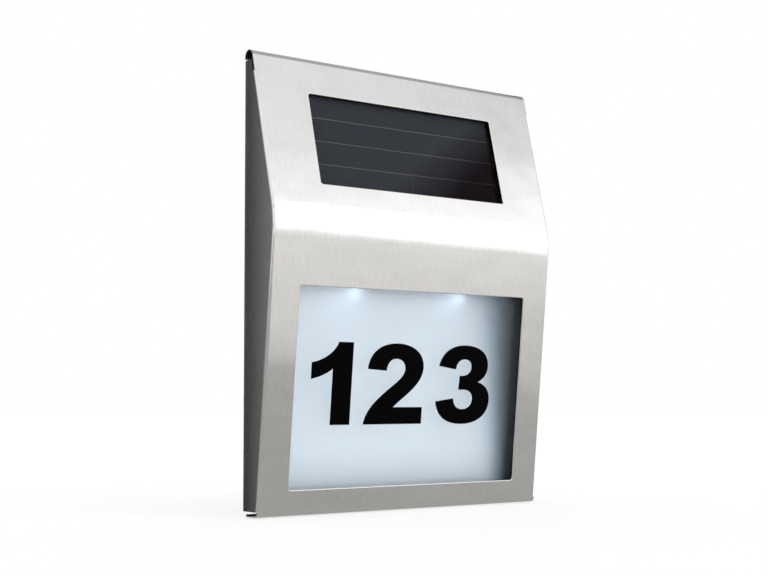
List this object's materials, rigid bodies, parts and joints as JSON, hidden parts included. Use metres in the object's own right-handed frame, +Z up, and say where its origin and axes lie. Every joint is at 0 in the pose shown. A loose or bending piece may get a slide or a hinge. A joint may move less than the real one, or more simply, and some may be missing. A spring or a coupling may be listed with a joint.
{
  "type": "solar house number plaque",
  "caption": "Wall plaque with a folded steel cover, a solar panel above and a back-lit frosted number panel below, hung on screws at the back.",
  "frame": {"origin": "midway between the entry holes of the two hanging keyholes, on the wall plane", "axes": "+Z up, +Y into the wall, so the front faces -Y, +X along the wall to the right"},
  "size_m": [0.16, 0.024, 0.2016],
  "materials": {
    "steel": "vertical brushed grain, satin",
    "housing": "moulded black ABS, fine grain",
    "frosted_panel": "frosted acrylic",
    "seal": "black foam",
    "white_card": "white, matt",
    "solar_glass": "clear cover, glossy",
    "solar_cells": "dark blue-grey silicon",
    "backing": "black laminate",
    "board": "green solder resist",
    "screw": "zinc plated",
    "led": "water-clear, lit white",
    "chip": "black epoxy",
    "ferrite": "dark ferrite",
    "can": "drawn can",
    "switch_can": "tinned shell",
    "slider": "black, ribbed",
    "battery": "plain wrapped can",
    "contact": "nickel plated"
  },
  "bodies": {
    "plaque": {"front_cover": "steel", "rear_housing": "housing", "number_panel": "frosted_panel", "panel_gasket": "seal", "reflector": "white_card", "solar_glass": "solar_glass", "solar_cells": "solar_cells", "solar_backing": "backing", "solar_gasket": "seal", "circuit_board": "board", "board_screws": "screw", "led_left": "led", "led_right": "led", "control_chip": "chip", "inductor": "ferrite", "capacitor": "can", "switch_body": "switch_can", "battery_cell": "battery", "battery_spring": "contact", "battery_contact": "contact", "battery_door": "housing", "door_screw": "screw", "cover_screws": "screw"},
    "slider": {"switch_slider": "slider"}
  },
  "joints": [
    {"name": "switch_slide", "type": "slide", "parent": "plaque", "child": "slider", "axis": [1, 0, 0], "range_m": [-0.0035, 0]}
  ]
}
